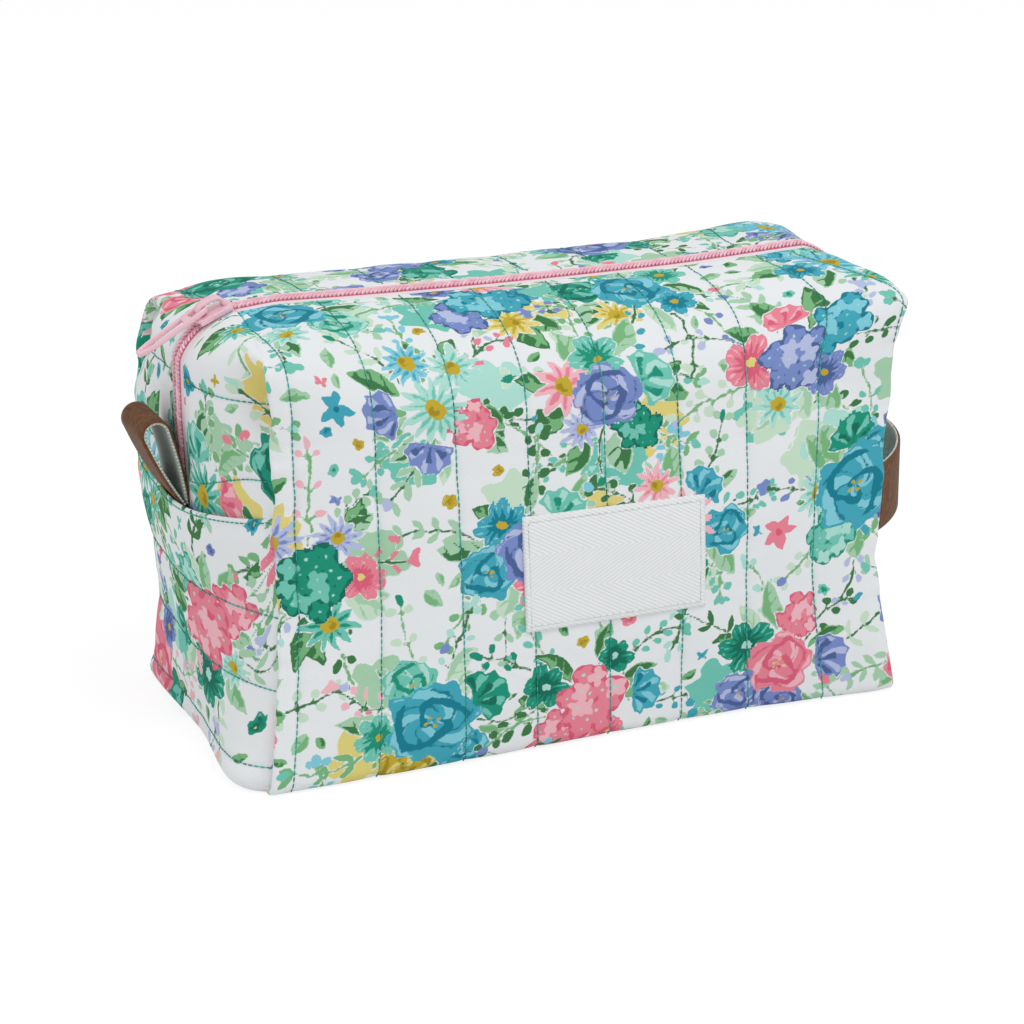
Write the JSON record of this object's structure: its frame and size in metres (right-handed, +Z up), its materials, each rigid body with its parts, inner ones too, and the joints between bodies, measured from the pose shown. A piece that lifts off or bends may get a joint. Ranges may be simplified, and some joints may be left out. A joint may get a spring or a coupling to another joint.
{
  "type": "knitting bag",
  "caption": "Boxy quilted cotton knitting bag with a zip over the top, slider and pull, a folded leather loop at one end and a leather handle at the other.",
  "frame": {"origin": "centre of the flat base", "axes": "+X along the bag from the loop end to the handle end, -Y towards the front with the label, +Z up"},
  "size_m": [0.2256, 0.0946, 0.1197],
  "materials": {
    "quilted_cotton": "fine printed cotton, quilted with teal thread",
    "lining_cotton": "plain matt cotton",
    "zip_tape": "woven polyester tape",
    "zip_teeth": "satin nylon coil",
    "slider_enamel": "glossy lacquer on cast metal",
    "leather": "fine grained, with pale raw edges and a grey back",
    "label_tape": "herringbone twill tape"
  },
  "bodies": {
    "bag": {"front_panel": "quilted_cotton", "back_panel": "quilted_cotton", "base_panel": "quilted_cotton", "left_lower_flap": "quilted_cotton", "right_lower_flap": "quilted_cotton", "left_upper_front_flap": "quilted_cotton", "left_upper_back_flap": "quilted_cotton", "right_upper_front_flap": "quilted_cotton", "right_upper_back_flap": "quilted_cotton", "body_lining": "lining_cotton", "left_end_lining": "lining_cotton", "right_end_lining": "lining_cotton", "left_zip_tapes": "zip_tape", "right_zip_tapes": "zip_tape", "left_zip_teeth": "zip_teeth", "right_zip_teeth": "zip_teeth", "right_handle": "leather", "label": "label_tape"},
    "front_mouth": {"front_top_panel": "quilted_cotton", "front_top_lining": "lining_cotton", "front_zip_tape": "zip_tape", "front_zip_teeth": "zip_teeth"},
    "back_mouth": {"back_top_panel": "quilted_cotton", "back_top_lining": "lining_cotton", "back_zip_tape": "zip_tape", "back_zip_teeth": "zip_teeth"},
    "slider": {"zip_slider": "slider_enamel"},
    "pull": {"zip_pull": "slider_enamel"},
    "loop": {"left_loop": "leather"}
  },
  "joints": [
    {"name": "front_mouth_opens", "type": "hinge", "parent": "bag", "child": "front_mouth", "pos_m": [0, -0.047, 0.106], "axis": [1, 0, 0], "range_deg": [0, 65], "deforming": ["front_zip_tape", "front_zip_teeth"]},
    {"name": "back_mouth_opens", "type": "hinge", "parent": "bag", "child": "back_mouth", "pos_m": [0, 0.047, 0.106], "axis": [-1, 0, 0], "range_deg": [0, 65], "deforming": ["back_zip_tape", "back_zip_teeth"]},
    {"name": "zip_slides", "type": "slide", "parent": "bag", "child": "slider", "axis": [0.9999, 0, 0.0133], "range_m": [0, 0.162], "deforming": ["left_zip_tapes", "right_zip_tapes", "left_zip_teeth", "right_zip_teeth"]},
    {"name": "pull_swings", "type": "hinge", "parent": "slider", "child": "pull", "pos_m": [-0.09092, 0, 0.11649], "axis": [0, 1, 0], "range_deg": [0, 180]},
    {"name": "loop_bends", "type": "hinge", "parent": "bag", "child": "loop", "pos_m": [-0.0998, 0.004, 0.066], "axis": [0, -1, 0], "range_deg": [-10, 70]}
  ]
}
